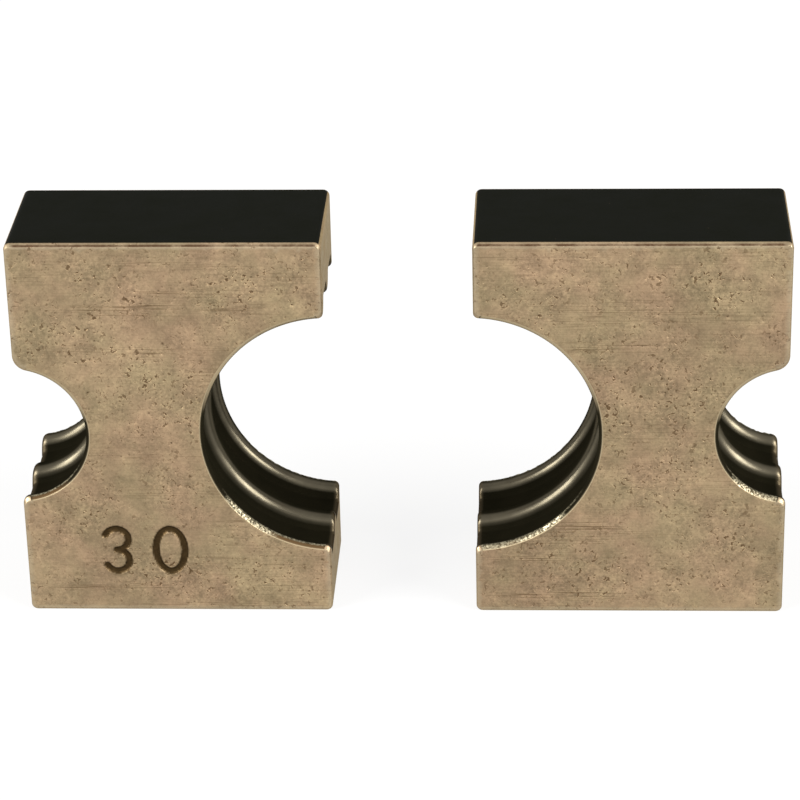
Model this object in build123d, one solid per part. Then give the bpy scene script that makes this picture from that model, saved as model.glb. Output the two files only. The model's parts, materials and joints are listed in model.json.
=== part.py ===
"""Pair of double-ended crimping die halves for hose fittings.

Each half is one block of tool steel, H-shaped from the front: a large half-round
bore is cut into one side face and a small one into the opposite side face. Ribs run
around both bores and press rings into the ferrule that the die closes on.

Frame: origin at the centre of the pair's footprint, +X from the left half to the
right half, +Y from the marked front face to the back, +Z up. Millimetres.
"""
from build123d import *
import math
import os

# Block of one half
block_width = 38.0          # parting face to outer face, along X
block_height = 50.0         # along Z
block_depth = 17.5          # along Y
corner_round = 0.8          # the four long outer corners
edge_break = 0.45           # bevel along the edges of the front and back faces

# Bores, each half cut into one half of the pair
large_bore_diameter = 30.0  # across the rib crests, with the pair closed
small_bore_diameter = 16.5
axis_height = 24.65         # bottom face to the axes of both bores
large_lip_round = 0.6       # where the large bore runs out into the parting face
small_lip_round_high = 2.0  # where the small bore runs out into the outer face
small_lip_round_low = 1.0

# Ribs around both bores
rib_count = 3
rib_inset = 0.4             # face of the block to the middle of the first rib's crest
rib_land = 0.5              # flat width left on a crest
groove_depth = 1.7
flank_run = 0.6             # how far a groove's sloping wall runs along the bore
crest_round = 0.85
root_round = 1.1
mouth_flare = 0.75          # how much wider a bore is at the faces than at the crests

# Pair
open_gap = 18.0             # between the two parting faces, with the pair open

# Size number stamped low on the front face of the left half
digit_height = 6.8
digit_width = 4.5
digit_pitch = 6.7           # from one digit's middle to the next
digit_stroke = 0.9
digit_depth = 0.35
number_inset = 11.3         # outer side face to the middle of the first digit
number_height = 5.2         # bottom face to the foot of the digits

cut_margin = 2.0            # how far a cutter runs past the metal

front_y = -block_depth / 2
outer_x = -block_width      # in a half's own frame, with the parting face at X = 0


def bore_cutter(diameter):
    """Solid of revolution along Y that leaves the ribs, the grooves and the flared mouths."""
    crest_radius = diameter / 2
    root_radius = crest_radius + groove_depth
    rib_pitch = (block_depth - 2 * rib_inset) / (rib_count - 1)
    flank_turn = math.atan2(groove_depth, flank_run)
    half_crest = rib_land / 2 + crest_round * math.tan(flank_turn / 2)

    flare_run = rib_inset - rib_land / 2
    mouth_radius = crest_radius + mouth_flare
    mouth_y = front_y - cut_margin

    crest_corners = []
    root_corners = []
    mouth = [(mouth_radius, mouth_y), (mouth_radius, front_y), (crest_radius, front_y + flare_run)]
    profile = [(0, mouth_y), *mouth]
    for groove in range(rib_count - 1):
        crest_y = front_y + rib_inset + groove * rib_pitch
        walls = (crest_y + half_crest, crest_y + rib_pitch - half_crest)
        near, far = (crest_radius, walls[0]), (crest_radius, walls[1])
        near_root, far_root = (root_radius, walls[0] + flank_run), (root_radius, walls[1] - flank_run)
        profile += [near, near_root, far_root, far]
        crest_corners += [near, far]
        root_corners += [near_root, far_root]
    profile += [(radius, -y) for radius, y in reversed(mouth)] + [(0, -mouth_y)]

    section = make_face(Polyline(*profile, close=True))
    section = fillet(vertices_at(section, crest_corners), crest_round)
    section = fillet(vertices_at(section, root_corners), root_round)
    return revolve(section, Axis.Y, 360)


def vertices_at(section, corners):
    """The section's vertices that lie at the given corners."""
    return [
        vertex
        for vertex in section.vertices()
        if any(math.hypot(vertex.X - x, vertex.Y - y) < 1e-4 for x, y in corners)
    ]


def block():
    """One half before its ribs are cut, with the parting face at X = 0 and the bores as plain arcs."""
    outline = Pos(outer_x / 2, block_height / 2) * Rectangle(block_width, block_height)
    outline = fillet(outline.vertices(), corner_round)
    bores = (
        (0, large_bore_diameter, large_lip_round, large_lip_round),
        (outer_x, small_bore_diameter, small_lip_round_low, small_lip_round_high),
    )
    for side_x, diameter, low_round, high_round in bores:
        outline -= Pos(side_x, axis_height) * Circle(diameter / 2)
        low_lip, high_lip = axis_height - diameter / 2, axis_height + diameter / 2
        outline = fillet(vertices_at(outline, [(side_x, low_lip)]), low_round)
        outline = fillet(vertices_at(outline, [(side_x, high_lip)]), high_round)
    solid = extrude(Plane.XZ * outline, block_depth / 2, both=True)
    faces = solid.faces().filter_by(Axis.Y)
    return chamfer(faces.edges(), edge_break)


def digit_three():
    """A plain 3 of two stacked rings that are open on the left."""
    ring_radius = (digit_height + digit_stroke) / 4
    ring_offset = (digit_height - digit_stroke) / 4
    ring = Circle(ring_radius) - Circle(ring_radius - digit_stroke)
    opening = Pos(-ring_radius, 0) * Rectangle(1.6 * ring_radius, 2.2 * ring_offset)
    return Pos(0, ring_offset) * ring + Pos(0, -ring_offset) * ring - opening


def digit_zero():
    """A plain oval 0."""
    inner = Ellipse(digit_width / 2 - digit_stroke, digit_height / 2 - digit_stroke)
    return Ellipse(digit_width / 2, digit_height / 2) - inner


def number_cutter():
    """Prism of the stamped size number, in the half's own frame."""
    first = Pos(outer_x + number_inset, number_height + digit_height / 2)
    digits = first * digit_three() + first * Pos(digit_pitch, 0) * digit_zero()
    face_plane = Plane(origin=(0, front_y, 0), x_dir=(1, 0, 0), z_dir=(0, -1, 0))
    return extrude(face_plane * digits, -digit_depth)


def die_half():
    """One plain half in its own frame, with its parting face at X = 0."""
    half = block()
    half -= Pos(0, 0, axis_height) * bore_cutter(large_bore_diameter)
    half -= Pos(outer_x, 0, axis_height) * bore_cutter(small_bore_diameter)
    return half


plain_half = die_half()
halves = {
    "die_half_left": Pos(-open_gap / 2, 0, 0) * (plain_half - number_cutter()),
    "die_half_right": Pos(open_gap / 2, 0, 0) * Rot(0, 0, 180) * plain_half,
}

os.makedirs("parts", exist_ok=True)
for node, half in halves.items():
    half.label = node
    export_step(half, f"parts/{node}.step")
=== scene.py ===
"""Pair of double-ended crimping die halves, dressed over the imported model. Metres, +Z up."""
import json
import math
from functools import partial

import bpy
import numpy as np
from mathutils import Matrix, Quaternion, Vector
from mathutils.geometry import delaunay_2d_cdt


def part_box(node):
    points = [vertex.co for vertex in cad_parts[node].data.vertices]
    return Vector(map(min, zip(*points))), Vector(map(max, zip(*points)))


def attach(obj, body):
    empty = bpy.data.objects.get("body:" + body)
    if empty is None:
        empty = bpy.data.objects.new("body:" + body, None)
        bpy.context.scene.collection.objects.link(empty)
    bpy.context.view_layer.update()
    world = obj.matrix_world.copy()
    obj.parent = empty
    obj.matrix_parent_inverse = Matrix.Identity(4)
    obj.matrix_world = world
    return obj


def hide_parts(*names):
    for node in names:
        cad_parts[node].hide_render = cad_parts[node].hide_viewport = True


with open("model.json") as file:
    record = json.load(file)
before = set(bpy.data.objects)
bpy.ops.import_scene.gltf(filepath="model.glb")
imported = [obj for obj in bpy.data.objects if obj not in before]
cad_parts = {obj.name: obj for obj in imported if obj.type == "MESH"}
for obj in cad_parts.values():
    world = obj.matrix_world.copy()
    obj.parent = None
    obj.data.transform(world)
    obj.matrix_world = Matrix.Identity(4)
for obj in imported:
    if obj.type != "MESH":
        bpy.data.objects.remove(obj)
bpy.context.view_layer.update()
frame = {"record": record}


# ---------------------------------------------------------------------------------------
# Die halves
# Each is one block of tool steel, milled and bored with three press ribs in each of its two
# half-round bores, hardened, and then ground on its flat faces. Both halves are the same
# part, turned to face each other. Their own frame is in millimetres: u from the outer face
# to the parting face, z up, and d from the half's first flat face to its second.
# ---------------------------------------------------------------------------------------
MM = 0.001

box_low, box_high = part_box("die_half_left")
WIDTH, DEPTH, HEIGHT = (round((high - low) / MM, 3) for low, high in zip(box_low, box_high))
mounts = {mount["name"]: mount for mount in frame["record"]["mounts"]}
LARGE_RADIUS = mounts["large_bore_left"]["dims"]["r_mm"]
SMALL_RADIUS = mounts["small_bore_left"]["dims"]["r_mm"]
AXIS_HEIGHT = mounts["large_bore_left"]["pos_m"][2] / MM

CORNER_ROUND = 0.8          # long outer corners
SMALLEST_ROUND = 0.15       # what is left of them where the bevel cuts in deepest
LARGE_LIP_ROUND = 0.7       # where the large bore runs out into the parting face
SMALL_LIP_ROUND_HIGH = 2.0  # where the small bore runs out into the outer face, above
SMALL_LIP_ROUND_LOW = 1.0   # and below
EDGE_BREAK = 0.38           # bevel round the two flat faces, along the top and foot
EDGE_SOFTNESS = 0.10        # how far the bevel's own edges are rubbed round
SIDE_BREAK = 0.5            # the bevel's width along the side faces, as a share of that
MOUTH_BREAK = 0.22          # and at the bores
BORE_OFFSET = 0.35          # the bores' axes lie this far outside the side faces
BELL_FRONT = 0.5            # how much wider the bores are at the end where the hose goes in
BELL_BACK = 0.1             # and at the other end
GROOVE_DEPTH = 1.7          # of the grooves between the press ribs
ROW_SPACING = 0.17          # mesh rows from one flat face to the other

# Stretches of the H-shaped outline, counter-clockwise from the foot of the outer face, each
# with its number of mesh steps.
STRETCHES = (
    ("foot", 56), ("corner", 6), ("parting", 18), ("lip", 8), ("large", 132), ("lip", 8),
    ("parting", 18), ("corner", 6), ("crown", 56), ("corner", 6), ("outer", 28), ("lip", 9),
    ("small", 84), ("lip", 9), ("outer", 28), ("corner", 6),
)
STEPS = [count for _, count in STRETCHES]
STRETCH_OF = np.repeat([name for name, _ in STRETCHES], STEPS)
# How bare a lip is at its two ends, by the stretches before and after it.
LIP_ENDS = {
    ("parting", "large"): (1, 0),
    ("large", "parting"): (0, 1),
    ("outer", "small"): (1, 0),
    ("small", "outer"): (0, 1),
}


def arc(centre, radius, start, end, steps):
    """Points on an arc between two angles in degrees, without the last one."""
    angles = np.radians(np.linspace(start, end, steps, endpoint=False))
    return np.column_stack([centre[0] + radius * np.cos(angles), centre[1] + radius * np.sin(angles)])


def bored_side(way, inset, low, radius, lips, steps):
    """A side face with its half-round bore: the parting face going up, or the outer face going down.

    It starts and ends low above the foot and under the crown. lips holds the round of the lip
    before the bore and of the one after it.
    """
    face_u = WIDTH - inset if way > 0 else inset
    bore_u = WIDTH + BORE_OFFSET if way > 0 else -BORE_OFFSET
    turn = 0 if way > 0 else 180
    ends = (low, HEIGHT - low)
    near_end, far_end = ends if way > 0 else ends[::-1]
    leans, centres = [], []
    for lip, side in zip(lips, (-way, way)):
        reach = radius + lip
        lean = math.asin((lip + inset + BORE_OFFSET) / reach)
        leans.append(math.degrees(lean))
        centres.append((face_u - way * lip, AXIS_HEIGHT + side * reach * math.cos(lean)))
    return [
        np.linspace((face_u, near_end), (face_u, centres[0][1]), steps[0], endpoint=False),
        arc(centres[0], lips[0], turn, turn + 90 - leans[0], steps[1]),
        arc((bore_u, AXIS_HEIGHT), radius, turn + 270 - leans[0], turn + 90 + leans[1], steps[2]),
        arc(centres[1], lips[1], turn - 90 + leans[1], turn, steps[3]),
        np.linspace((face_u, centres[1][1]), (face_u, far_end), steps[4], endpoint=False),
    ]


def outline(inset, widening):
    """The H-shaped outline, drawn in from the flat faces by inset, with the bores wider by widening."""
    corner = max(CORNER_ROUND - inset, SMALLEST_ROUND)
    side = SIDE_BREAK * inset
    left, right = side + corner, WIDTH - side - corner
    low, high = inset + corner, HEIGHT - inset - corner
    widening = widening + MOUTH_BREAK * inset
    large, small = LARGE_RADIUS + widening, SMALL_RADIUS + widening
    return np.concatenate([
        np.linspace((left, inset), (right, inset), STEPS[0], endpoint=False),
        arc((right, low), corner, -90, 0, STEPS[1]),
        *bored_side(1, side, low, large, (LARGE_LIP_ROUND, LARGE_LIP_ROUND), STEPS[2:7]),
        arc((right, high), corner, 0, 90, STEPS[7]),
        np.linspace((right, HEIGHT - inset), (left, HEIGHT - inset), STEPS[8], endpoint=False),
        arc((left, high), corner, 90, 180, STEPS[9]),
        *bored_side(-1, side, low, small, (SMALL_LIP_ROUND_HIGH, SMALL_LIP_ROUND_LOW), STEPS[10:15]),
        arc((left, low), corner, 180, 270, STEPS[15]),
    ])


def edge_rows():
    """(depth, inset) of the mesh rows over the bevel, from the flat face inwards."""
    soft = EDGE_SOFTNESS * math.sqrt(0.5)
    face_corner = [(0, EDGE_BREAK + EDGE_SOFTNESS), (0, EDGE_BREAK), (soft, EDGE_BREAK - soft)]
    side_corner = [(EDGE_BREAK - soft, soft), (EDGE_BREAK, 0), (EDGE_BREAK + EDGE_SOFTNESS, 0)]
    corners = []
    for start, middle, end in (np.array(face_corner), np.array(side_corner)):
        corners.append([
            (1 - t) ** 2 * start + 2 * t * (1 - t) * middle + t**2 * end for t in (0, 1 / 3, 2 / 3, 1)
        ])
    between = list(np.linspace(corners[0][-1], corners[1][0], 5)[1:-1])
    return corners[0] + between + corners[1]


def wall_rows():
    """(depth, inset) of every mesh row, from one flat face to the other."""
    edge = edge_rows()
    start, end = edge[-1][0], DEPTH - edge[-1][0]
    inner = np.linspace(start, end, round((end - start) / ROW_SPACING))[1:-1]
    return edge + [(depth, 0.0) for depth in inner] + [(DEPTH - depth, inset) for depth, inset in edge[::-1]]


ROWS = wall_rows()


def near_patches(places, patches):
    """How far, from 0 to 1, each place (u, z) is inside a (u, z, half width, half height) patch."""
    result = np.zeros(len(places))
    for u, z, half_width, half_height in patches:
        reach = ((places[:, 0] - u) / half_width) ** 2 + ((places[:, 1] - z) / half_height) ** 2
        result = np.maximum(result, np.clip(1.6 * (1 - reach), 0, 1))
    return result


# Where the cutter tore the steel as it broke out at a mouth, as patches in (u, z).
TORN = {
    "left_block": ((28.2, 13.2, 4.2, 4.2),),
    "right_block": ((30.2, 11.6, 4.8, 3.2), (36.0, 9.2, 3.2, 1.2), (3.0, 17.3, 5.5, 2.4)),
}


def blank(name):
    """Vertices (u, d, z) of the skin between the flat faces, row by row, before the ribs are cut.

    Each point also gets its marks, and "opening": how it moves for each millimetre that its
    bore is cut deeper.
    """
    points, opening = [], []
    for depth, inset in ROWS:
        from_back = 1 - depth / DEPTH if name == "left_block" else depth / DEPTH
        bell = BELL_BACK + (BELL_FRONT - BELL_BACK) * from_back
        plain, deeper = outline(inset, bell), outline(inset, bell + GROOVE_DEPTH)
        points.append(np.insert(plain, 1, depth, axis=1))
        opening.append(np.insert((deeper - plain) / GROOVE_DEPTH, 1, 0, axis=1))
    points, opening = np.concatenate(points), np.concatenate(opening)
    from_face = np.minimum(points[:, 1], DEPTH - points[:, 1])
    inset = np.repeat([inset for _, inset in ROWS], len(STRETCH_OF))
    names = [stretch for stretch, _ in STRETCHES]
    lip_ramp = [
        np.linspace(*LIP_ENDS.get((before, after), (0, 0)), count, endpoint=False)
        for before, after, count in zip(np.roll(names, 1), np.roll(names, -1), STEPS)
    ]
    stretch = np.tile(STRETCH_OF, len(ROWS))
    bored = np.isin(stretch, ("large", "small"))
    bevel = np.clip(1 - from_face / (EDGE_BREAK + 2 * EDGE_SOFTNESS), 0, 1)
    torn = near_patches(points[:, [0, 2]], TORN[name])
    bore_radius = np.where(points[:, 0] > WIDTH / 2, LARGE_RADIUS, SMALL_RADIUS)
    below_axis = (AXIS_HEIGHT - points[:, 2]) / bore_radius
    # Above the axis the whole mouth gets the pale rim: bare steel that also serves as a painted highlight.
    upper_ring = np.clip(-2.5 * below_axis - 0.5, 0, 1) * np.clip(3.4 - from_face / 0.1, 0, 1)
    # The first crest is ragged all along the foot of a mouth.
    on_first_crest = np.clip(1.5 - abs(from_face - 0.45) / 0.12, 0, 1)
    ragged = 0.75 * np.clip((below_axis - 0.5) * 4, 0, 1) * on_first_crest
    # The very foot of a mouth is bronzed by heat.
    bronzed = np.clip((below_axis - 0.75) * 6, 0, 1) * np.clip(2.4 - from_face / 0.17, 0, 1)
    torn_mouth = np.maximum(torn * np.clip(1.8 - from_face / 0.4, 0, 1), ragged)
    marks = {
        "opening": opening,
        # Bevels: paler from wearing and as a painted highlight.
        "edge": np.where(bored, 0, bevel),
        # Painted shade on the bevel along the top.
        "top_bevel_shade": np.where(stretch == "crown", np.clip(2 - abs(inset - 0.26) / 0.08, 0, 1), 0),
        # Painted shade on the side faces.
        "side": np.where(np.isin(stretch, ("parting", "outer")), 1 - bevel, 0),
        "lip": np.where(stretch == "lip", np.tile(np.concatenate(lip_ramp), len(ROWS)), 0),
        # Pale rim at the mouth's edge: bare steel and a painted highlight.
        "rim": np.where(bored, np.maximum(np.clip((inset - 0.3) / 0.1, 0, 1), upper_ring), 0),
        "bronzed": np.where(bored, bronzed, 0),
        "tear": np.where(bored, torn_mouth, 0),
    }
    return points, marks


def blank_faces():
    """Quads between the rows, and each one's finish: 0 ground, 1 black with scale, 2 bored."""
    columns = len(STRETCH_OF)
    row, column = np.meshgrid(np.arange(len(ROWS) - 1), np.arange(columns), indexing="ij")
    after = (column + 1) % columns
    quads = np.stack(
        [
            row * columns + column, (row + 1) * columns + column,
            (row + 1) * columns + after, row * columns + after,
        ],
        axis=-1,
    ).reshape(-1, 4)
    finish = np.select(
        [np.isin(STRETCH_OF, ("foot", "crown")), np.isin(STRETCH_OF, ("large", "small", "lip"))], [1, 2], 0
    )
    finish = np.tile(finish, len(ROWS) - 1).reshape(len(ROWS) - 1, columns)
    # The scale runs round onto the corners beside the foot and crown, but not onto the bevels.
    beside = np.zeros(columns, bool)
    for shift in (3, -3):
        beside |= np.isin(np.roll(STRETCH_OF, shift), ("foot", "crown"))
    finish[:, beside & (STRETCH_OF == "corner")] = 1
    bevel = len(edge_rows()) - 1
    for rows in (slice(0, bevel), slice(-bevel, None)):
        finish[rows][:, ~np.isin(STRETCH_OF, ("large", "small"))] = 0
    return quads, finish.ravel()


def link_input(modifier, name, value):
    """Sets a Geometry Nodes modifier's input by the identifier of its socket."""
    sockets = modifier.node_group.interface.items_tree
    identifier = next(item.identifier for item in sockets if item.name == name and item.in_out == "INPUT")
    modifier[identifier] = value


def rib_cutting_tree():
    """Geometry Nodes that cut the press ribs into the blank's bores and tear the edges of their mouths.

    A rib is a round bead on steep flanks, and the beads lie an equal pitch apart. The blank is in
    the half's own frame, in millimetres.
    """
    tree = bpy.data.node_groups.new("rib_cutting", "GeometryNodeTree")
    interface = tree.interface
    interface.new_socket("Blank", in_out="INPUT", socket_type="NodeSocketGeometry")
    for name in (
        "Block Depth", "Rib Inset", "Crest Half Width", "Bead Radius", "Flank Angle", "Groove Depth",
        "Root Round", "Mouth Flare", "Mouth Run", "Tear Height", "Tear Size", "Worn And Highlit Side",
    ):
        interface.new_socket(name, in_out="INPUT", socket_type="NodeSocketFloat")
    for name in ("Rib Count", "Seed"):
        interface.new_socket(name, in_out="INPUT", socket_type="NodeSocketInt")
    for name in ("Ground", "Blackened", "Bored"):
        interface.new_socket(name, in_out="INPUT", socket_type="NodeSocketMaterial")
    interface.new_socket("Ribbed Block", in_out="OUTPUT", socket_type="NodeSocketGeometry")
    node = partial(add, tree)
    given = node("NodeGroupInput").outputs

    place = node("GeometryNodeInputPosition")
    depth = node("ShaderNodeSeparateXYZ", {"Vector": place}).outputs["Y"]
    to_back = node("ShaderNodeMath", {0: given["Block Depth"], 1: depth}, operation="SUBTRACT")
    from_face = node("ShaderNodeMath", {0: depth, 1: to_back}, operation="MINIMUM")

    # Crest pitch: the depth between the first and the last crest, shared out.
    ribbed = node(
        "ShaderNodeMath", {0: given["Rib Inset"], 1: -2, 2: given["Block Depth"]}, operation="MULTIPLY_ADD"
    )
    gaps = node("ShaderNodeMath", {0: given["Rib Count"], 1: 1}, operation="SUBTRACT")
    half_gaps = node("ShaderNodeMath", {0: gaps, 1: 2}, operation="MULTIPLY")
    half_pitch = node("ShaderNodeMath", {0: ribbed, 1: half_gaps}, operation="DIVIDE")
    pitch = node("ShaderNodeMath", {0: half_pitch, 1: 2}, operation="MULTIPLY")
    past_first = node("ShaderNodeMath", {0: depth, 1: given["Rib Inset"]}, operation="SUBTRACT")
    from_crest = node("ShaderNodeMath", {0: past_first, 1: half_pitch}, operation="PINGPONG")

    # A bead's section: an arc as far as the flank's angle, then the straight flank down to the floor.
    off_land = node("ShaderNodeMath", {0: from_crest, 1: given["Crest Half Width"]}, operation="SUBTRACT")
    off_land = node("ShaderNodeMath", {0: off_land, 1: 0}, operation="MAXIMUM")
    sine = node("ShaderNodeMath", {0: given["Flank Angle"]}, operation="SINE")
    slope = node("ShaderNodeMath", {0: given["Flank Angle"]}, operation="TANGENT")
    arc_end = node("ShaderNodeMath", {0: given["Bead Radius"], 1: sine}, operation="MULTIPLY")
    on_arc = node("ShaderNodeMath", {0: off_land, 1: arc_end}, operation="MINIMUM")
    on_flank = node("ShaderNodeMath", {0: off_land, 1: on_arc}, operation="SUBTRACT")
    radius_squared = node("ShaderNodeMath", {0: given["Bead Radius"], 1: 2}, operation="POWER")
    arc_squared = node("ShaderNodeMath", {0: on_arc, 1: 2}, operation="POWER")
    rise_squared = node("ShaderNodeMath", {0: radius_squared, 1: arc_squared}, operation="SUBTRACT")
    rise = node("ShaderNodeMath", {0: rise_squared}, operation="SQRT")
    arc_drop = node("ShaderNodeMath", {0: given["Bead Radius"], 1: rise}, operation="SUBTRACT")
    drop = node("ShaderNodeMath", {0: on_flank, 1: slope, 2: arc_drop}, operation="MULTIPLY_ADD")
    flank = node(
        "ShaderNodeMath",
        {0: drop, 1: given["Groove Depth"], 2: given["Root Round"]},
        operation="SMOOTH_MIN",
    )
    between_crests = node("ShaderNodeMath", {0: from_face, 1: given["Rib Inset"]}, operation="GREATER_THAN")
    groove = node("ShaderNodeMath", {0: flank, 1: between_crests}, operation="MULTIPLY")

    # The mouth flares in a curve that is steepest at the face.
    flare = node("ShaderNodeMapRange", {"Value": from_face, "From Min": given["Mouth Run"], "From Max": 0})
    flare = node("ShaderNodeMath", {0: flare, 1: 1.6}, operation="POWER")
    groove = node("ShaderNodeMath", {0: flare, 1: given["Mouth Flare"], 2: groove}, operation="MULTIPLY_ADD")
    opening = node("GeometryNodeInputNamedAttribute", {"Name": "opening"}, data_type="FLOAT_VECTOR")
    cut = node("ShaderNodeVectorMath", {0: opening, "Scale": groove}, operation="SCALE")
    block = node("GeometryNodeSetPosition", {"Geometry": given["Blank"], "Offset": cut})
    # Only the side of each bead that faces the camera turns pale, from wearing and as a painted highlight;
    # its far side stays dark as painted shade.
    off_crest = node("ShaderNodeMath", {0: past_first, 1: half_pitch}, operation="ADD")
    off_crest = node("ShaderNodeMath", {0: off_crest, 1: pitch}, operation="FLOORED_MODULO")
    off_crest = node("ShaderNodeMath", {0: off_crest, 1: half_pitch}, operation="SUBTRACT")
    off_crest = node("ShaderNodeMath", {0: off_crest, 1: given["Worn And Highlit Side"]}, operation="MULTIPLY")
    facing_camera = node("ShaderNodeMapRange", {"Value": off_crest, "From Min": -0.3, "From Max": -0.75})
    on_bead = node("ShaderNodeMapRange", {"Value": groove, "From Min": 1.0, "From Max": 0.5})
    wear_and_highlight = node("ShaderNodeMath", {0: facing_camera, 1: on_bead}, operation="MULTIPLY")
    wear_and_highlight = node("ShaderNodeMath", {0: wear_and_highlight, 1: between_crests}, operation="MULTIPLY")
    block = node(
        "GeometryNodeStoreNamedAttribute", {"Geometry": block, "Name": "crest", "Value": wear_and_highlight},
        data_type="FLOAT", domain="POINT",
    )

    # Torn metal stands up and breaks away along the foot of each mouth.
    torn = node("GeometryNodeInputNamedAttribute", {"Name": "tear"}, data_type="FLOAT")
    fineness = node("ShaderNodeMath", {0: 1, 1: given["Tear Size"]}, operation="DIVIDE")
    rag = node(
        "ShaderNodeTexNoise",
        {"Vector": place, "W": given["Seed"], "Scale": fineness, "Detail": 3, "Roughness": 0.65},
        noise_dimensions="4D",
    )
    rag = node(
        "ShaderNodeMapRange",
        {"Value": rag, "From Min": 0.36, "From Max": 0.7, "To Min": -0.25, "To Max": 1},
    )
    behind_rim = node(
        "ShaderNodeMapRange", {"Value": from_face, "From Min": 0.02, "From Max": 0.16, "To Min": 0.25}
    )
    height = node("ShaderNodeMath", {0: rag, 1: given["Tear Height"]}, operation="MULTIPLY")
    height = node("ShaderNodeMath", {0: height, 1: behind_rim}, operation="MULTIPLY")
    height = node("ShaderNodeMath", {0: height, 1: torn}, operation="MULTIPLY")
    tearing = node("ShaderNodeVectorMath", {0: opening, "Scale": height}, operation="SCALE")
    block = node("GeometryNodeSetPosition", {"Geometry": block, "Offset": tearing})

    block = node("GeometryNodeRealizeInstances", {"Geometry": block})
    finish = node("GeometryNodeInputNamedAttribute", {"Name": "finish"}, data_type="INT")
    for value, name in enumerate(("Ground", "Blackened", "Bored")):
        chosen = node("FunctionNodeCompare", {"A": finish, "B": value}, data_type="INT", operation="EQUAL")
        block = node(
            "GeometryNodeSetMaterial", {"Geometry": block, "Selection": chosen, "Material": given[name]}
        )
    node("NodeGroupOutput", {"Ribbed Block": block})
    return tree


# Plain size number, stamped with hand punches into the marked half: the strokes' middle lines,
# from the number's foot.
DIGIT_HEIGHT = 6.8
DIGIT_WIDTH = 4.5
DIGIT_PITCH = 6.7
DIGIT_STROKE = 0.9
NUMBER_U = 11.3            # outer face to the middle of the first digit
NUMBER_Z = 5.2             # foot of the block to the foot of the digits
STAMP_DEPTH = 0.30
STAMP_MARGIN = 1.2         # fine mesh round the number
SECOND_STRIKE = (0.1, -0.55)  # where the punch bounced and marked again, faintly


def number_strokes():
    """Points along the strokes of a 3 and a 0, close enough together to measure distances to."""
    bowl = (DIGIT_HEIGHT - DIGIT_STROKE) / 4
    half_width, half_height = (DIGIT_WIDTH - DIGIT_STROKE) / 2, (DIGIT_HEIGHT - DIGIT_STROKE) / 2
    middle = NUMBER_Z + DIGIT_HEIGHT / 2
    upper = arc((NUMBER_U, middle + bowl), bowl, 155, -90, 90)
    lower = arc((NUMBER_U, middle - bowl), bowl, 90, -155, 90)
    turn = np.linspace(0, 2 * np.pi, 240, endpoint=False)
    zero_u = NUMBER_U + DIGIT_PITCH + half_width * np.cos(turn)
    zero = np.column_stack([zero_u, middle + half_height * np.sin(turn)])
    return np.concatenate([upper, lower, zero])


def nearest(points, targets):
    """Distance from each point to the nearest target."""
    result = np.full(len(points), np.inf)
    for start in range(0, len(targets), 64):
        gaps = points[:, None, :] - targets[None, start:start + 64, :]
        result = np.minimum(result, np.sqrt((gaps**2).sum(-1)).min(1))
    return result


def inside(points, loop):
    """Which points lie inside a closed loop."""
    result = np.zeros(len(points), bool)
    for (ax, az), (bx, bz) in zip(loop, np.roll(loop, -1, axis=0)):
        if az == bz:
            continue
        crosses = (points[:, 1] < az) != (points[:, 1] < bz)
        result ^= crosses & (points[:, 0] < ax + (points[:, 1] - az) * (bx - ax) / (bz - az))
    return result


# Where the visible flat faces are etched or scored most, as patches in (u, z).
PITTED = {
    "left_block": (
        (6, 38, 6, 5), (14, 34, 5, 5), (12, 45, 6, 3), (20, 29, 4, 6), (26, 44, 5, 4), (34, 46, 3, 3),
        (18, 18, 4, 5), (14, 8, 5, 3), (22, 5, 13, 4), (6, 14, 5, 4),
    ),
    "right_block": (
        (31, 43, 5, 4), (14, 31, 6, 8), (21, 29, 4, 8), (14, 17, 5, 6), (9, 44, 5, 4), (30, 8, 4, 4),
        (22, 5, 14, 4), (9, 9, 7, 6),
    ),
}
SCORED = {
    "left_block": (
        (20, 41.5, 16, 1.3), (24, 43.6, 12, 0.5), (19, 36, 14, 0.6), (30, 12.4, 8, 1.2), (10, 3.4, 9, 1.0),
    ),
    "right_block": ((26.5, 11.2, 8, 2.6), (22, 36.5, 14, 0.8), (26, 2.4, 12, 0.7), (31, 7.6, 6, 0.8)),
}
FACE_SPACING = 0.55        # mesh points on the flat faces, away from marks
STAMP_SPACING = 0.16
PIT_CLUSTERS = 46
LONE_PITS = 170


def face_pits(rng):
    """(u, z, half length, depth) of the corrosion pits on a flat face, most of them in clusters."""
    centres = rng.uniform((1, 1), (WIDTH - 1, HEIGHT - 1), (PIT_CLUSTERS, 2))
    clustered = [rng.normal(centre, rng.uniform(0.5, 1.9), (rng.integers(4, 15), 2)) for centre in centres]
    lone = rng.uniform((0.6, 0.6), (WIDTH - 0.6, HEIGHT - 0.6), (LONE_PITS, 2))
    places = np.concatenate([*clustered, lone])
    reach = np.clip(rng.lognormal(math.log(0.17), 0.35, len(places)), 0.09, 0.4)
    depth = reach * rng.uniform(0.3, 0.6, len(places))
    return np.column_stack([places, reach, depth])


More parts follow.
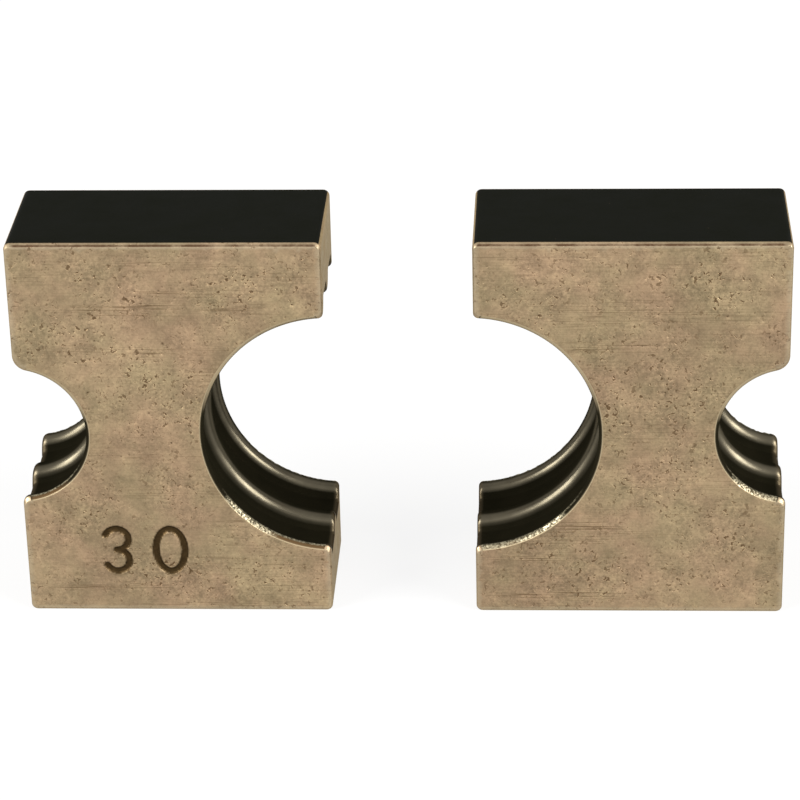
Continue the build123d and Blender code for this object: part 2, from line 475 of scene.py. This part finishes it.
def flat_face(loop, seed, marked, side):
    """Triangles over one flat face, with its pits and, on the marked one, its number.

    Returns (points in u and z, how far they sink, their marks, triangles). The loop's own
    points come first.
    """
    rng = np.random.default_rng(seed)
    nodes = np.mgrid[0.3:WIDTH:FACE_SPACING, 0.3:HEIGHT:FACE_SPACING].reshape(2, -1).T
    nodes = nodes + rng.uniform(-0.12, 0.12, nodes.shape)
    if marked:
        strokes = number_strokes()
        low, high = strokes.min(0) - STAMP_MARGIN, strokes.max(0) + STAMP_MARGIN
        nodes = nodes[((nodes < low - 0.1) | (nodes > high + 0.1)).any(1)]
        fine = np.mgrid[low[0]:high[0]:STAMP_SPACING, low[1]:high[1]:STAMP_SPACING].reshape(2, -1).T
        nodes = np.concatenate([nodes, fine + rng.uniform(-0.02, 0.02, fine.shape)])

    pits = face_pits(rng)
    kept = inside(pits[:, :2], loop) & (nearest(pits[:, :2], loop) > pits[:, 2] + 0.12)
    if marked:
        kept &= nearest(pits[:, :2], strokes) > 0.9
    pits = pits[kept]
    separate = []
    for pit in pits:
        gaps = (math.dist(pit[:2], other[:2]) - pit[2] - other[2] for other in separate)
        if all(gap > 0.04 for gap in gaps):
            separate.append(pit)
    pits = np.array(separate)

    kept = inside(nodes, loop) & (nearest(nodes, loop) > 0.2)
    for u, z, radius, _ in pits:
        kept &= (nodes[:, 0] - u) ** 2 + (nodes[:, 1] - z) ** 2 > (radius + 0.1) ** 2
    nodes = nodes[kept]

    # Each pit is a ragged slot: seven rim points round its deepest point.
    turns = np.radians(np.arange(7) * 360 / 7)
    ragged = rng.uniform(0.7, 1.0, (len(pits), 7)) * pits[:, 2:3]
    along = ragged * np.cos(turns)
    across = ragged * np.sin(turns) * rng.uniform(0.35, 0.8, (len(pits), 1))
    lie = rng.uniform(0, np.pi, (len(pits), 1))
    rims = np.stack(
        [
            pits[:, :1] + along * np.cos(lie) - across * np.sin(lie),
            pits[:, 1:2] + along * np.sin(lie) + across * np.cos(lie),
        ],
        axis=-1,
    ).reshape(-1, 2)
    points = np.concatenate([loop, nodes, rims, pits[:, :2]])
    sink, dark, stamp = np.zeros((3, len(points)))
    sink[-len(pits):] = pits[:, 3]
    dark[-len(pits):] = rng.uniform(0.5, 1.0, len(pits))
    if marked:
        away = nearest(points, strokes)
        second = nearest(points, strokes + SECOND_STRIKE)
        bed = np.clip(1.15 - away / (DIGIT_STROKE / 2), 0, 1)
        echo = np.clip(1 - second / (DIGIT_STROKE * 0.28), 0, 1)
        sink += STAMP_DEPTH * np.minimum(bed * 1.7, 1) + 0.05 * echo * (bed == 0)
        stamp = np.clip(bed * 5, 0, 1)
        stamp = np.maximum(stamp, 0.45 * np.clip(echo * 2, 0, 1) * (bed == 0))

    cap_marks = {
        "dark": dark,
        "stamp": stamp,
        "pitted": near_patches(points, PITTED.get(side, ())),
        "scored": near_patches(points, SCORED.get(side, ())),
    }
    coordinates = [Vector(point) for point in points]
    made = delaunay_2d_cdt(coordinates, [], [list(range(len(loop)))], 1, 1e-7)
    assert len(made[0]) == len(points), "the triangulation added or merged points"
    order = [originals[0] for originals in made[3]]
    triangles = np.array([[order[index] for index in triangle] for triangle in made[2]])
    return points, sink, cap_marks, triangles


def build_half(name, seed, marked, place):
    """One die half as a closed mesh; place turns its own (u, d, z) into metres in the frame."""
    points, marks = blank(name)
    quads, finish = blank_faces()
    skin = bpy.data.meshes.new("blank")
    skin.from_pydata([tuple(point) for point in points], [], [tuple(map(int, quad)) for quad in quads])
    for key, values in marks.items():
        kind, field = ("FLOAT_VECTOR", "vector") if values.ndim > 1 else ("FLOAT", "value")
        skin.attributes.new(key, kind, "POINT").data.foreach_set(field, values.astype(np.float32).ravel())
    skin.attributes.new("finish", "INT", "FACE").data.foreach_set("value", finish.astype(np.int32))
    blank_object = bpy.data.objects.new("blank", skin)
    bpy.context.collection.objects.link(blank_object)
    cutter = blank_object.modifiers.new("ribs", "NODES")
    cutter.node_group = rib_cutting
    for input_name, value in (
        ("Block Depth", DEPTH), ("Rib Count", 3), ("Rib Inset", 0.4), ("Crest Half Width", 0.15),
        ("Bead Radius", 1.3), ("Flank Angle", math.radians(64)), ("Groove Depth", GROOVE_DEPTH),
        ("Root Round", 0.5),
        ("Mouth Flare", 0.4), ("Mouth Run", 0.42), ("Tear Height", 0.16), ("Tear Size", 0.3), ("Seed", seed),
        # Each half's beads are paler on the side that faces the camera: wearing and a painted highlight.
        ("Worn And Highlit Side", 1 if name == "left_block" else -1),
        ("Ground", finishes[0]), ("Blackened", finishes[1]), ("Bored", finishes[2]),
    ):
        link_input(cutter, input_name, value)
    evaluated = blank_object.evaluated_get(bpy.context.evaluated_depsgraph_get())
    ribbed = bpy.data.meshes.new_from_object(evaluated)
    bpy.data.objects.remove(blank_object)

    count = len(ribbed.vertices)
    points = np.empty(count * 3)
    ribbed.vertices.foreach_get("co", points)
    points = points.reshape(-1, 3)
    finish = np.empty(len(ribbed.polygons), np.int32)
    ribbed.polygons.foreach_get("material_index", finish)
    finish = np.array([finishes.index(material) if material else 0 for material in ribbed.materials])[finish]
    del marks["opening"]
    marks = {key: [values] for key, values in marks.items()}
    crest = np.empty(count, np.float32)
    ribbed.attributes["crest"].data.foreach_get("value", crest)
    marks["crest"] = [crest]
    for key in ("dark", "stamp", "pitted", "scored"):
        marks[key] = [np.zeros(count)]

    columns = len(STRETCH_OF)
    positions = [points]
    triangles = []
    total = count
    for last, first_vertex in ((False, 0), (True, count - columns)):
        loop = points[first_vertex:first_vertex + columns][:, [0, 2]]
        # The camera's side of the right half is its second face: it is turned to face the left one.
        visible_side = name if last != marked else ""
        flat, sink, cap_marks, cap = flat_face(loop, seed * 10 + last, marked and not last, visible_side)
        depth = DEPTH - sink if last else sink
        positions.append(np.column_stack([flat[columns:, 0], depth[columns:], flat[columns:, 1]]))
        for key in marks:
            marks[key].append(cap_marks.get(key, np.zeros(len(flat)))[columns:])
        numbered = np.where(cap < columns, cap + first_vertex, cap - columns + total)
        a, b, c = (flat[cap[:, k]] for k in range(3))
        upright = np.cross(b - a, c - a) > 0
        turned = upright == last
        numbered[turned] = numbered[turned][:, ::-1]
        triangles.append(numbered)
        total += len(flat) - columns

    mesh = bpy.data.meshes.new(name)
    vertices = [place(point) for point in np.concatenate(positions)]
    faces = [list(quad) for quad in quads] + [list(triangle) for cap in triangles for triangle in cap]
    mesh.from_pydata(vertices, [], faces)
    for material in finishes:
        mesh.materials.append(material)
    face_finish = np.concatenate([finish, np.zeros(sum(len(cap) for cap in triangles), int)])
    mesh.polygons.foreach_set("material_index", face_finish.astype(np.int32))
    mesh.polygons.foreach_set("use_smooth", np.ones(len(faces), bool))
    for key, values in marks.items():
        attribute = mesh.attributes.new(key, "FLOAT", "POINT")
        attribute.data.foreach_set("value", np.concatenate(values).astype(np.float32))
    mesh.update()
    half = bpy.data.objects.new(name, mesh)
    bpy.context.collection.objects.link(half)
    return half


def place_left(point):
    """A point of the left half's own frame, in metres in the shared frame."""
    return (box_low.x + point[0] * MM, box_low.y + point[1] * MM, box_low.z + point[2] * MM)


right_low, right_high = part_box("die_half_right")


def place_right(point):
    """The same for the right half, which is turned half round."""
    return (right_high.x - point[0] * MM, right_high.y - point[1] * MM, right_low.z + point[2] * MM)


def linear(hex_colour):
    """Linear RGBA of an sRGB hex colour."""
    parts = [int(hex_colour[start:start + 2], 16) / 255 for start in (1, 3, 5)]
    return [part / 12.92 if part <= 0.04045 else ((part + 0.055) / 1.055) ** 2.4 for part in parts] + [1.0]


def add(tree, kind, inputs=None, **settings):
    """Adds a node with its settings and links.

    An input is a value, a socket, or a node whose first live output is linked.
    """
    made = tree.nodes.new(kind)
    for name, value in settings.items():
        setattr(made, name, value)
    for name, value in (inputs or {}).items():
        socket = made.inputs[name] if isinstance(name, int) else next(
            each for each in made.inputs if each.name == name and each.enabled
        )
        if isinstance(value, bpy.types.Node):
            value = next(each for each in value.outputs if each.enabled)
        if isinstance(value, bpy.types.NodeSocket):
            tree.links.new(value, socket)
        else:
            socket.default_value = value
    return made


def new_material(name):
    """An empty material, what adds a node to it, its Object coordinates and its Principled shader."""
    material = bpy.data.materials.new(name)
    material.use_nodes = True
    material.node_tree.nodes.clear()
    node = partial(add, material.node_tree)
    shader = node("ShaderNodeBsdfPrincipled")
    node("ShaderNodeOutputMaterial", {"Surface": shader})
    place = node("ShaderNodeTexCoord").outputs["Object"]
    return material, node, place, shader


def ground_tool_steel():
    """Surface-ground, tempered tool steel: a satin straw-tan film over fine grinding lines.

    The film turns a little olive or rosy in patches. Damp storage has etched crooked brown flecks into it, in
    clusters, and each fleck has a paler rim.
    Paler edges are part wearing, part painted highlight, and painted shade darkens the side faces and the top
    bevel.
    """
    material, node, place, shader = new_material("ground_tool_steel")

    # Patches of tint a few millimetres across, and the cloudiness of the film.
    tint = node("ShaderNodeTexNoise", {"Vector": place, "Scale": 1 / (6 * MM), "Detail": 4})
    tint = node("ShaderNodeMapRange", {"Value": tint, "From Min": 0.36, "From Max": 0.64})
    film = node(
        "ShaderNodeMix", {"Factor": tint, "A": linear("#918063"), "B": linear("#957e64")}, data_type="RGBA"
    )
    broad = node(
        "ShaderNodeTexNoise",
        {"Vector": place, "Scale": 1 / (16 * MM), "Detail": 1, "W": 2},
        noise_dimensions="4D",
    )
    broad = node(
        "ShaderNodeMapRange",
        {"Value": broad, "From Min": 0.3, "From Max": 0.7, "To Min": 0.9, "To Max": 1.1},
    )
    cloud = node(
        "ShaderNodeTexNoise",
        {"Vector": place, "Scale": 1 / (2.6 * MM), "Detail": 7, "Roughness": 0.72, "W": 3},
        noise_dimensions="4D",
    )
    cloud = node(
        "ShaderNodeMapRange",
        {"Value": cloud, "From Min": 0.25, "From Max": 0.75, "To Min": 0.68, "To Max": 1.3},
    )
    shade = node("ShaderNodeMath", {0: broad, 1: cloud}, operation="MULTIPLY")

    # Grinding lines run level, up to a few centimetres long and 0.15 mm across.
    level = node(
        "ShaderNodeVectorMath",
        {0: place, 1: (1 / (9 * MM), 1 / (9 * MM), 1 / (0.16 * MM))},
        operation="MULTIPLY",
    )
    lines = node("ShaderNodeTexNoise", {"Vector": level, "Scale": 1, "Detail": 3, "Roughness": 0.65})
    long_bands = node(
        "ShaderNodeVectorMath",
        {0: place, 1: (1 / (30 * MM), 1 / (30 * MM), 1 / (3 * MM))},
        operation="MULTIPLY",
    )
    band = node(
        "ShaderNodeTexNoise", {"Vector": long_bands, "Scale": 1, "Detail": 2, "W": 7}, noise_dimensions="4D"
    )
    band = node(
        "ShaderNodeMapRange",
        {"Value": band, "From Min": 0.44, "From Max": 0.66, "To Min": 0.1, "To Max": 0.5},
    )
    scored = node("ShaderNodeAttribute", attribute_name="scored").outputs["Fac"]
    band = node("ShaderNodeMath", {0: band, 1: scored}, operation="MAXIMUM")
    furrow = node("ShaderNodeMapRange", {"Value": lines, "From Min": 0.48, "From Max": 0.36})
    furrow = node("ShaderNodeMath", {0: furrow, 1: band}, operation="MULTIPLY")
    ridge = node(
        "ShaderNodeMapRange",
        {"Value": lines, "From Min": 0.52, "From Max": 0.7, "To Min": 0, "To Max": 0.16},
    )
    ridge = node("ShaderNodeMath", {0: ridge, 1: band}, operation="MULTIPLY")

    # Etched marks are crooked flecks 0.3 mm across, wherever damp has sat.
    blotches = node(
        "ShaderNodeTexNoise",
        {
            "Vector": place, "Scale": 1 / (0.5 * MM), "Detail": 1.5,
            "Roughness": 0.55, "Distortion": 0.6, "W": 11,
        },
        noise_dimensions="4D",
    )
    damp = node(
        "ShaderNodeTexNoise",
        {"Vector": place, "Scale": 1 / (3.2 * MM), "Detail": 3, "W": 13},
        noise_dimensions="4D",
    )
    damp = node(
        "ShaderNodeMapRange",
        {"Value": damp, "From Min": 0.4, "From Max": 0.62, "To Min": 0.2, "To Max": 0.85},
    )
    pitted = node("ShaderNodeAttribute", attribute_name="pitted").outputs["Fac"]
    damp = node("ShaderNodeMath", {0: pitted, 1: 0.4, 2: damp}, operation="MULTIPLY_ADD", use_clamp=True)
    etched = node("ShaderNodeMapRange", {"Value": blotches, "From Min": 0.41, "From Max": 0.34})
    etched = node("ShaderNodeMath", {0: etched, 1: damp}, operation="MULTIPLY")
    rim = node(
        "ShaderNodeMapRange",
        {"Value": blotches, "From Min": 0.47, "From Max": 0.42, "To Min": 0, "To Max": 0.16},
    )
    rim = node("ShaderNodeMath", {0: rim, 1: damp}, operation="MULTIPLY")

    # Grain of the etched film itself.
    grain = node(
        "ShaderNodeTexNoise",
        {
            "Vector": place, "Scale": 1 / (0.36 * MM), "Detail": 2,
            "Roughness": 0.6, "Distortion": 0.5, "W": 19,
        },
        noise_dimensions="4D",
    )
    mottle = node("ShaderNodeMath", {0: grain, 1: 0.5}, operation="SUBTRACT")
    mottle = node("ShaderNodeMath", {0: mottle, 1: damp}, operation="MULTIPLY")
    shade = node("ShaderNodeMath", {0: mottle, 1: 1.1, 2: shade}, operation="MULTIPLY_ADD")
    grain_shade = node(
        "ShaderNodeMapRange",
        {"Value": grain, "From Min": 0.25, "From Max": 0.75, "To Min": 0.92, "To Max": 1.08},
    )
    shade = node("ShaderNodeMath", {0: shade, 1: grain_shade}, operation="MULTIPLY")
    paler = node("ShaderNodeMath", {0: ridge, 1: rim}, operation="ADD")
    shade = node("ShaderNodeMath", {0: shade, 1: paler}, operation="ADD")
    film = node(
        "ShaderNodeMix", {"Factor": 1.0, "A": film, "B": shade}, data_type="RGBA", blend_type="MULTIPLY"
    )

    # Painted shade: the side faces are made a little darker and greyer than the flat faces.
    side = node("ShaderNodeAttribute", attribute_name="side").outputs["Fac"]
    side = node("ShaderNodeMath", {0: side, 1: 0.6}, operation="MULTIPLY")
    film = node("ShaderNodeMix", {"Factor": side, "A": film, "B": linear("#75684f")}, data_type="RGBA")
    # The bevels are paler: partly wearing, partly a painted highlight.
    rubbed_and_highlit = node("ShaderNodeAttribute", attribute_name="edge").outputs["Fac"]
    rubbed_and_highlit = node("ShaderNodeMath", {0: rubbed_and_highlit, 1: 0.6}, operation="MULTIPLY")
    film = node("ShaderNodeMix", {"Factor": rubbed_and_highlit, "A": film, "B": linear("#a3957c")}, data_type="RGBA")
    # Painted shade: the bevel along the top is darkened to a patchy brown, a painted reflection of dark
    # surroundings.
    top_bevel_shade = node("ShaderNodeAttribute", attribute_name="top_bevel_shade").outputs["Fac"]
    bevel_shade_breakup = node(
        "ShaderNodeMapRange",
        {"Value": cloud, "From Min": 0.9, "From Max": 1.1, "To Min": 0.95, "To Max": 0.5},
    )
    top_bevel_shade = node("ShaderNodeMath", {0: top_bevel_shade, 1: bevel_shade_breakup}, operation="MULTIPLY")
    film = node("ShaderNodeMix", {"Factor": top_bevel_shade, "A": film, "B": linear("#523b29")}, data_type="RGBA")
    furrow_tint = node("ShaderNodeMath", {0: furrow, 1: 0.85}, operation="MULTIPLY")
    film = node("ShaderNodeMix", {"Factor": furrow_tint, "A": film, "B": linear("#533f29")}, data_type="RGBA")
    etched_tint = node("ShaderNodeMath", {0: etched, 1: 0.85}, operation="MULTIPLY")
    film = node("ShaderNodeMix", {"Factor": etched_tint, "A": film, "B": linear("#4f3b26")}, data_type="RGBA")
    dark = node("ShaderNodeAttribute", attribute_name="dark").outputs["Fac"]
    film = node("ShaderNodeMix", {"Factor": dark, "A": film, "B": linear("#3f2d1b")}, data_type="RGBA")
    # The stamped strokes are darker brown inside.
    stamp = node("ShaderNodeAttribute", attribute_name="stamp").outputs["Fac"]
    stamp_darkening = node("ShaderNodeTexNoise", {"Vector": place, "Scale": 1 / (0.5 * MM), "Detail": 2})
    stamp_darkening = node(
        "ShaderNodeMix", {"Factor": stamp_darkening, "A": linear("#23190a"), "B": linear("#463620")}, data_type="RGBA"
    )
    film = node("ShaderNodeMix", {"Factor": stamp, "A": film, "B": stamp_darkening}, data_type="RGBA")

    depth = node("ShaderNodeMath", {0: etched, 1: -0.03}, operation="MULTIPLY")
    depth = node("ShaderNodeMath", {0: furrow, 1: -0.014, 2: depth}, operation="MULTIPLY_ADD")
    depth = node("ShaderNodeMath", {0: grain, 1: 0.008, 2: depth}, operation="MULTIPLY_ADD")
    relief = node("ShaderNodeBump", {"Distance": MM, "Height": depth, "Strength": 1.0})
    satin = node(
        "ShaderNodeMapRange",
        {"Value": cloud, "From Min": 0.85, "From Max": 1.12, "To Min": 0.36, "To Max": 0.5},
    )
    wire = material.node_tree.links.new
    wire(film.outputs[2], shader.inputs["Base Color"])
    wire(satin.outputs[0], shader.inputs["Roughness"])
    wire(relief.outputs[0], shader.inputs["Normal"])
    shader.inputs["Metallic"].default_value = 0.85
    shader.inputs["Specular Tint"].default_value = linear("#dccfb2")
    return material


def blackened_steel():
    """The hardening scale left on the top and foot: a smooth, nearly black oxide skin."""
    material, node, place, shader = new_material("blackened_steel")
    patches = node("ShaderNodeTexNoise", {"Vector": place, "Scale": 1 / (4 * MM), "Detail": 4})
    scale = node(
        "ShaderNodeMix",
        {"Factor": patches, "A": linear("#0b0c07"), "B": linear("#10110b")},
        data_type="RGBA",
    )
    chips = node(
        "ShaderNodeTexNoise",
        {"Vector": place, "Scale": 1 / (0.3 * MM), "Detail": 2, "W": 4},
        noise_dimensions="4D",
    )
    chips = node(
        "ShaderNodeMapRange",
        {"Value": chips, "From Min": 0.74, "From Max": 0.8, "To Min": 0, "To Max": 0.5},
    )
    scale = node("ShaderNodeMix", {"Factor": chips, "A": scale, "B": linear("#5a4c3c")}, data_type="RGBA")
    sheen = node(
        "ShaderNodeMapRange",
        {"Value": patches, "From Min": 0.3, "From Max": 0.7, "To Min": 0.3, "To Max": 0.45},
    )
    bump = node("ShaderNodeBump", {"Distance": MM, "Height": patches, "Strength": 0.03})
    wire = material.node_tree.links.new
    wire(scale.outputs[2], shader.inputs["Base Color"])
    wire(sheen.outputs[0], shader.inputs["Roughness"])
    wire(bump.outputs[0], shader.inputs["Normal"])
    shader.inputs["Specular IOR Level"].default_value = 0.005
    return material


def bored_steel():
    """The bores' turned wall under the same scale, bared to grey steel on the near side of each rib, partly
    by wearing and partly as a painted highlight.

    The mouths, torn by the cutter and ground off since, shine as bare metal, and a painted highlight runs
    along their edges.
    """
    material, node, place, shader = new_material("bored_steel")
    patches = node("ShaderNodeTexNoise", {"Vector": place, "Scale": 1 / (2.5 * MM), "Detail": 4})
    skin = node(
        "ShaderNodeMix",
        {"Factor": patches, "A": linear("#13120b"), "B": linear("#1d1a11")},
        data_type="RGBA",
    )
    # Turning marks run round the bore, 0.12 mm apart.
    rings = node(
        "ShaderNodeVectorMath",
        {0: place, 1: (1 / (9 * MM), 1 / (0.12 * MM), 1 / (9 * MM))},
        operation="MULTIPLY",
    )
    turned = node("ShaderNodeTexNoise", {"Vector": rings, "Scale": 1, "Detail": 2})
    worn_and_highlit = node(
        "ShaderNodeMapRange",
        {"Value": patches, "From Min": 0.35, "From Max": 0.65, "To Min": 0.75, "To Max": 1.0},
    )
    # Paler steel on the near side of each bead: wearing, and a painted highlight.
    crest = node("ShaderNodeAttribute", attribute_name="crest").outputs["Fac"]
    worn_and_highlit = node("ShaderNodeMath", {0: worn_and_highlit, 1: crest}, operation="MULTIPLY")
    skin = node("ShaderNodeMix", {"Factor": worn_and_highlit, "A": skin, "B": linear("#5a5446")}, data_type="RGBA")
    lip = node("ShaderNodeAttribute", attribute_name="lip").outputs["Fac"]
    skin = node("ShaderNodeMix", {"Factor": lip, "A": skin, "B": linear("#5c513f")}, data_type="RGBA")
    bronzed = node("ShaderNodeAttribute", attribute_name="bronzed").outputs["Fac"]
    skin = node("ShaderNodeMix", {"Factor": bronzed, "A": skin, "B": linear("#4f3d28")}, data_type="RGBA")
    flecks = node(
        "ShaderNodeTexNoise",
        {"Vector": place, "Scale": 1 / (0.26 * MM), "Detail": 3, "Roughness": 0.6, "W": 6},
        noise_dimensions="4D",
    )
    flecks = node("ShaderNodeMapRange", {"Value": flecks, "From Min": 0.42, "From Max": 0.62})
    torn = node("ShaderNodeAttribute", attribute_name="tear").outputs["Fac"]
    bare = node("ShaderNodeMath", {0: flecks, 1: torn}, operation="MULTIPLY")
    ground_off = node("ShaderNodeMath", {0: torn, 1: 0.6}, operation="MULTIPLY")
    skin = node("ShaderNodeMix", {"Factor": ground_off, "A": skin, "B": linear("#565040")}, data_type="RGBA")
    skin = node("ShaderNodeMix", {"Factor": bare, "A": skin, "B": linear("#b0a68b")}, data_type="RGBA")
    # Pale rim round each mouth: bare steel and a painted highlight.
    rim = node("ShaderNodeAttribute", attribute_name="rim").outputs["Fac"]
    skin = node("ShaderNodeMix", {"Factor": rim, "A": skin, "B": linear("#b3a283")}, data_type="RGBA")
    # Steel shows wherever the scale is gone. Scale itself is no metal, and mirrors little.
    steel = node("ShaderNodeMath", {0: worn_and_highlit, 1: lip}, operation="MAXIMUM")
    steel = node("ShaderNodeMath", {0: steel, 1: bare}, operation="MAXIMUM")
    steel = node("ShaderNodeMath", {0: steel, 1: rim}, operation="MAXIMUM")
    gloss = node(
        "ShaderNodeMapRange",
        {"Value": turned, "From Min": 0.3, "From Max": 0.7, "To Min": 0.27, "To Max": 0.35},
    )
    gloss = node("ShaderNodeMath", {0: torn, 1: 0.15, 2: gloss}, operation="MULTIPLY_ADD")
    bump = node("ShaderNodeBump", {"Distance": MM, "Height": turned, "Strength": 0.004})
    wire = material.node_tree.links.new
    wire(skin.outputs[2], shader.inputs["Base Color"])
    wire(steel.outputs[0], shader.inputs["Metallic"])
    wire(gloss.outputs[0], shader.inputs["Roughness"])
    wire(bump.outputs[0], shader.inputs["Normal"])
    shader.inputs["Specular IOR Level"].default_value = 0.0
    # Worn steel turns dark again at a glancing look, where clean metal would shine.
    shader.inputs["Specular Tint"].default_value = linear("#7a7a7a")
    return material


finishes = [ground_tool_steel(), blackened_steel(), bored_steel()]
rib_cutting = rib_cutting_tree()
for name, node, body, seed, marked, place in (
    ("left_block", "die_half_left", "left_half", 3, True, place_left),
    ("right_block", "die_half_right", "right_half", 8, False, place_right),
):
    half = build_half(name, seed, marked, place)
    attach(half, body)
    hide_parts(node)


# ---------------------------------------------------------------------------------------
# Table and studio
# A pale table under a white surround, with a strong soft lamp on each side of the pair and a
# weak one in front.
# ---------------------------------------------------------------------------------------
def seen_directly(node):
    """1 for what the camera sees, straight or mirrored, and 0 for light on its way to a surface."""
    path = node("ShaderNodeLightPath")
    seen = node(
        "ShaderNodeMath",
        {0: path.outputs["Is Camera Ray"], 1: path.outputs["Is Glossy Ray"]},
        operation="MAXIMUM",
    )
    return node("ShaderNodeMath", {0: seen, 1: path.outputs["Is Transmission Ray"]}, operation="MAXIMUM")


def table_top():
    """A pale, matt table. Most of the white that shows is its own, so the halves' shadows stay faint."""
    mesh = bpy.data.meshes.new("table")
    reach = 1.5
    corners = [(-reach, -reach, 0), (reach, -reach, 0), (reach, reach, 0), (-reach, reach, 0)]
    mesh.from_pydata(corners, [], [(0, 1, 2, 3)])
    table = bpy.data.objects.new("table", mesh)
    bpy.context.collection.objects.link(table)
    material, node, _, shader = new_material("matt_white_table")
    shader.inputs["Base Color"].default_value = linear("#f2f1ef")
    shader.inputs["Roughness"].default_value = 0.9
    shader.inputs["Specular IOR Level"].default_value = 0.1
    white = node("ShaderNodeEmission", {"Color": (1, 1, 1, 1), "Strength": 1.0})
    share = node("ShaderNodeMath", {0: seen_directly(node), 1: 0.85}, operation="MULTIPLY")
    mixed = node("ShaderNodeMixShader", {0: share, 1: shader, 2: white})
    output = next(each for each in material.node_tree.nodes if each.type == "OUTPUT_MATERIAL")
    material.node_tree.links.new(mixed.outputs[0], output.inputs["Surface"])
    mesh.materials.append(material)


AMBIENT = 0.4              # strength of the white surround where it only lights


def surround():
    """White where it is seen or mirrored, and dimmer where it only lights."""
    world = bpy.data.worlds.new("surround")
    bpy.context.scene.world = world
    world.use_nodes = True
    world.node_tree.nodes.clear()
    node = partial(add, world.node_tree)
    strength = node("ShaderNodeMapRange", {"Value": seen_directly(node), "To Min": AMBIENT, "To Max": 1.0})
    light = node("ShaderNodeBackground", {"Color": (1, 1, 1, 1), "Strength": strength})
    node("ShaderNodeOutputWorld", {"Surface": light})


def direction(azimuth, elevation):
    """Unit vector from the object towards this azimuth (0 is -Y, 90 is +X) and elevation, in degrees."""
    turn, rise = math.radians(azimuth), math.radians(elevation)
    return Vector((math.sin(turn) * math.cos(rise), -math.cos(turn) * math.cos(rise), math.sin(rise)))


def lamp(name, azimuth, elevation, distance, size, power):
    """A soft box, (width, height) large, that faces the middle of the pair."""
    data = bpy.data.lights.new(name, "AREA")
    data.shape, data.energy = "RECTANGLE", power
    data.size, data.size_y = size
    soft_box = bpy.data.objects.new(name, data)
    bpy.context.collection.objects.link(soft_box)
    towards = direction(azimuth, elevation)
    soft_box.location = Vector((0, 0, HEIGHT * MM / 2)) + towards * distance
    soft_box.rotation_euler = towards.to_track_quat("Z", "Y").to_euler()


table_top()
surround()
lamp("left_soft_box", -62, 25, 1.6, (1.1, 0.6), 36)
lamp("right_soft_box", 62, 25, 1.6, (1.1, 0.6), 36)
lamp("front_soft_box", 0, 24, 1.6, (1.2, 1.0), 3)

# A long lens, looking down on the pair from a little to its right.
CAMERA_AZIMUTH, CAMERA_ELEVATION, CAMERA_ROLL = 3.19, 25.93, -1.37
CAMERA_DISTANCE = 0.4022
CAMERA_AIM = Vector((-0.445, 0.047, 25.147)) * MM
camera_data = bpy.data.cameras.new("camera")
camera_data.lens = 145.66
camera = bpy.data.objects.new("camera", camera_data)
bpy.context.collection.objects.link(camera)
towards = direction(CAMERA_AZIMUTH, CAMERA_ELEVATION)
camera.location = CAMERA_AIM + towards * CAMERA_DISTANCE
roll = Quaternion((0, 0, 1), math.radians(CAMERA_ROLL))
camera.rotation_euler = (towards.to_track_quat("Z", "Y") @ roll).to_euler()
camera_data.clip_start, camera_data.clip_end = 0.01, 10
bpy.context.scene.camera = camera
bpy.context.scene.view_settings.view_transform = "Standard"
